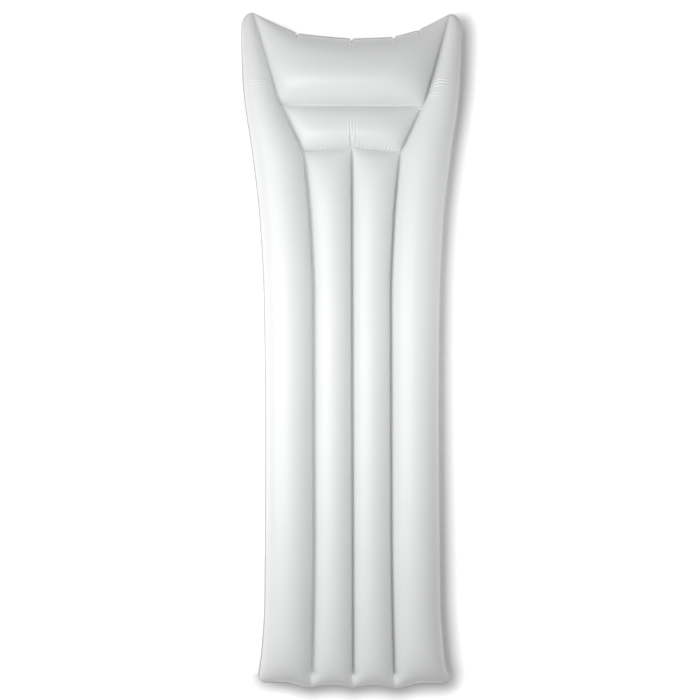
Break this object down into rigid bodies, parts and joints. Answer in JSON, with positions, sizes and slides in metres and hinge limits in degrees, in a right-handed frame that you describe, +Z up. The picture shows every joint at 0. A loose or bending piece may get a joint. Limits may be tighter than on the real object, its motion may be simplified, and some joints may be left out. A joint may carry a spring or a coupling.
{
  "type": "inflatable pool mattress",
  "caption": "Inflated pool air mattress of two welded PVC films, with side and middle tubes, a separate pillow chamber and valves that push in flush.",
  "frame": {"origin": "on the floor, under the middle of the mattress's bounding box", "axes": "+Z up, +Y along the length towards the pillow, +X across the width"},
  "size_m": [0.5704, 1.7422, 0.1332],
  "materials": {
    "film": "white PVC film, satin gloss",
    "valve": "soft moulded PVC, slightly cloudy",
    "plug": "soft moulded PVC, white"
  },
  "bodies": {
    "mattress": {"top_sheet": "film", "bottom_sheet": "film", "body_valve_flange": "valve", "body_valve_web": "valve", "pillow_valve_flange": "valve", "pillow_valve_web": "valve"},
    "body_stem": {"body_valve_stem": "valve", "body_valve_tether": "plug"},
    "body_plug": {"body_valve_plug": "plug"},
    "body_flap": {"body_valve_flap": "plug"},
    "pillow_stem": {"pillow_valve_stem": "valve", "pillow_valve_tether": "plug"},
    "pillow_plug": {"pillow_valve_plug": "plug"},
    "pillow_flap": {"pillow_valve_flap": "plug"}
  },
  "joints": [
    {"name": "body_stem_slide", "type": "slide", "parent": "mattress", "child": "body_stem", "axis": [0, -0.766, -0.6428], "range_m": [0, 0.018], "deforming": ["body_valve_web"]},
    {"name": "body_plug_slide", "type": "slide", "parent": "body_stem", "child": "body_plug", "axis": [0, -0.766, -0.6428], "range_m": [0, 0.012], "deforming": ["body_valve_tether"]},
    {"name": "body_flap_hinge", "type": "hinge", "parent": "body_stem", "child": "body_flap", "pos_m": [0.04653, -0.82253, 0.04519], "axis": [0, -0.6428, 0.766], "range_deg": [0, 50], "stiffness_Nm_per_rad": 0.0005},
    {"name": "pillow_stem_slide", "type": "slide", "parent": "mattress", "child": "pillow_stem", "axis": [0, 0.766, -0.6428], "range_m": [0, 0.018], "deforming": ["pillow_valve_web"]},
    {"name": "pillow_plug_slide", "type": "slide", "parent": "pillow_stem", "child": "pillow_plug", "axis": [0, 0.766, -0.6428], "range_m": [0, 0.012], "deforming": ["pillow_valve_tether"]},
    {"name": "pillow_flap_hinge", "type": "hinge", "parent": "pillow_stem", "child": "pillow_flap", "pos_m": [0.0684, 0.75495, 0.04082], "axis": [0, -0.6428, -0.766], "range_deg": [0, 50], "stiffness_Nm_per_rad": 0.0005}
  ]
}
